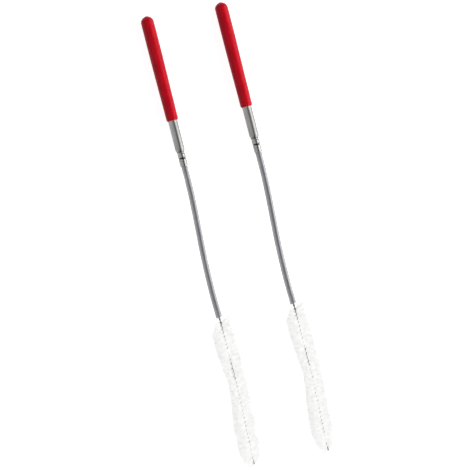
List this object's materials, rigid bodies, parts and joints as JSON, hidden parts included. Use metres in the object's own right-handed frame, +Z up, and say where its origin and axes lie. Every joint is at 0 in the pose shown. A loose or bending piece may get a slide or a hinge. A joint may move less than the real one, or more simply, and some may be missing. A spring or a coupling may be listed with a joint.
{
  "type": "pair of flexible cleaning brushes",
  "caption": "Flexible tube-cleaning brushes lying side by side: dipped grip on a steel tube, close-wound spring shaft, and a long nylon bristle head on a twisted-wire stem.",
  "frame": {"origin": "centre of the bounding box of both brushes, on the surface that they lie on", "axes": "+Y along both handles towards the butts of the grips, so the bristle heads point to -Y; +X from brush a to brush b; +Z up"},
  "size_m": [0.0979, 0.467, 0.0206],
  "materials": {
    "grip_vinyl": "satin",
    "tube_steel": "satin",
    "neck_steel": "polished",
    "spring_steel": "satin",
    "stem_wire": "satin",
    "plug_brass": "satin",
    "bristle_nylon": "satin"
  },
  "bodies": {
    "handle_a": {"grip_a": "grip_vinyl", "handle_tube_a": "tube_steel", "coupling_a": "neck_steel", "ferrule_a": "neck_steel", "spring_1_a": "spring_steel"},
    "shaft_2_a": {"spring_2_a": "spring_steel"},
    "shaft_3_a": {"spring_3_a": "spring_steel"},
    "shaft_4_a": {"spring_4_a": "spring_steel"},
    "shaft_5_a": {"spring_5_a": "spring_steel"},
    "shaft_6_a": {"spring_6_a": "spring_steel"},
    "shaft_7_a": {"spring_7_a": "spring_steel", "stem_plug_a": "plug_brass", "stem_root_a": "stem_wire"},
    "head_upper_a": {"stem_upper_a": "stem_wire", "bristles_upper_a": "bristle_nylon"},
    "head_lower_a": {"stem_lower_a": "stem_wire", "bristles_lower_a": "bristle_nylon"},
    "handle_b": {"grip_b": "grip_vinyl", "handle_tube_b": "tube_steel", "coupling_b": "neck_steel", "ferrule_b": "neck_steel", "spring_1_b": "spring_steel"},
    "shaft_2_b": {"spring_2_b": "spring_steel"},
    "shaft_3_b": {"spring_3_b": "spring_steel"},
    "shaft_4_b": {"spring_4_b": "spring_steel"},
    "shaft_5_b": {"spring_5_b": "spring_steel"},
    "shaft_6_b": {"spring_6_b": "spring_steel"},
    "shaft_7_b": {"spring_7_b": "spring_steel", "stem_plug_b": "plug_brass", "stem_root_b": "stem_wire"},
    "head_upper_b": {"stem_upper_b": "stem_wire", "bristles_upper_b": "bristle_nylon"},
    "head_lower_b": {"stem_lower_b": "stem_wire", "bristles_lower_b": "bristle_nylon"}
  },
  "joints": [
    {"name": "shaft_1_side_a", "type": "hinge", "parent": "handle_a", "child": "shaft_2_a", "pos_m": [-0.033, 0.05352, 0.0066], "axis": [0, 0, 1], "range_deg": [-20, 10], "stiffness_Nm_per_rad": 0.023},
    {"name": "shaft_2_up_a", "type": "hinge", "parent": "shaft_2_a", "child": "shaft_3_a", "pos_m": [-0.03399, 0.03171, 0.00698], "axis": [-1, 0, 0], "range_deg": [0, 20], "stiffness_Nm_per_rad": 0.023},
    {"name": "shaft_3_side_a", "type": "hinge", "parent": "shaft_3_a", "child": "shaft_4_a", "pos_m": [-0.03525, 0.00993, 0.00774], "axis": [0, 0, 1], "range_deg": [-20, 10], "stiffness_Nm_per_rad": 0.023},
    {"name": "shaft_4_up_a", "type": "hinge", "parent": "shaft_4_a", "child": "shaft_5_a", "pos_m": [-0.03662, -0.01184, 0.00866], "axis": [-1, 0, 0], "range_deg": [0, 20], "stiffness_Nm_per_rad": 0.023},
    {"name": "shaft_5_side_a", "type": "hinge", "parent": "shaft_5_a", "child": "shaft_6_a", "pos_m": [-0.03723, -0.03365, 0.00949], "axis": [0, 0, 1], "range_deg": [-20, 10], "stiffness_Nm_per_rad": 0.023},
    {"name": "shaft_6_up_a", "type": "hinge", "parent": "shaft_6_a", "child": "shaft_7_a", "pos_m": [-0.03745, -0.05548, 0.01003], "axis": [-1, 0, 0], "range_deg": [0, 20], "stiffness_Nm_per_rad": 0.023},
    {"name": "neck_bend_a", "type": "hinge", "parent": "shaft_7_a", "child": "head_upper_a", "pos_m": [-0.03659, -0.08029, 0.01033], "axis": [-1, 0, 0], "range_deg": [0, 45]},
    {"name": "head_bend_a", "type": "hinge", "parent": "head_upper_a", "child": "head_lower_a", "pos_m": [-0.03659, -0.15229, 0.01033], "axis": [0, 0, 1], "range_deg": [-20, 20]},
    {"name": "shaft_1_side_b", "type": "hinge", "parent": "handle_b", "child": "shaft_2_b", "pos_m": [0.04225, 0.04862, 0.0066], "axis": [0, 0, 1], "range_deg": [-10, 20], "stiffness_Nm_per_rad": 0.023},
    {"name": "shaft_2_up_b", "type": "hinge", "parent": "shaft_2_b", "child": "shaft_3_b", "pos_m": [0.04126, 0.02681, 0.00698], "axis": [-1, 0, 0], "range_deg": [0, 20], "stiffness_Nm_per_rad": 0.023},
    {"name": "shaft_3_side_b", "type": "hinge", "parent": "shaft_3_b", "child": "shaft_4_b", "pos_m": [0.04, 0.00503, 0.00774], "axis": [0, 0, 1], "range_deg": [-10, 20], "stiffness_Nm_per_rad": 0.023},
    {"name": "shaft_4_up_b", "type": "hinge", "parent": "shaft_4_b", "child": "shaft_5_b", "pos_m": [0.03863, -0.01674, 0.00866], "axis": [-1, 0, 0], "range_deg": [0, 20], "stiffness_Nm_per_rad": 0.023},
    {"name": "shaft_5_side_b", "type": "hinge", "parent": "shaft_5_b", "child": "shaft_6_b", "pos_m": [0.03803, -0.03855, 0.00949], "axis": [0, 0, 1], "range_deg": [-10, 20], "stiffness_Nm_per_rad": 0.023},
    {"name": "shaft_6_up_b", "type": "hinge", "parent": "shaft_6_b", "child": "shaft_7_b", "pos_m": [0.0378, -0.06038, 0.01003], "axis": [-1, 0, 0], "range_deg": [0, 20], "stiffness_Nm_per_rad": 0.023},
    {"name": "neck_bend_b", "type": "hinge", "parent": "shaft_7_b", "child": "head_upper_b", "pos_m": [0.03866, -0.08519, 0.01033], "axis": [-1, 0, 0], "range_deg": [0, 45]},
    {"name": "head_bend_b", "type": "hinge", "parent": "head_upper_b", "child": "head_lower_b", "pos_m": [0.03866, -0.15719, 0.01033], "axis": [0, 0, 1], "range_deg": [-20, 20]},
    {"name": "brush_b_lift", "type": "slide", "parent": "handle_a", "child": "handle_b", "axis": [0, 0, 1], "range_m": [0, 0.15]}
  ]
}
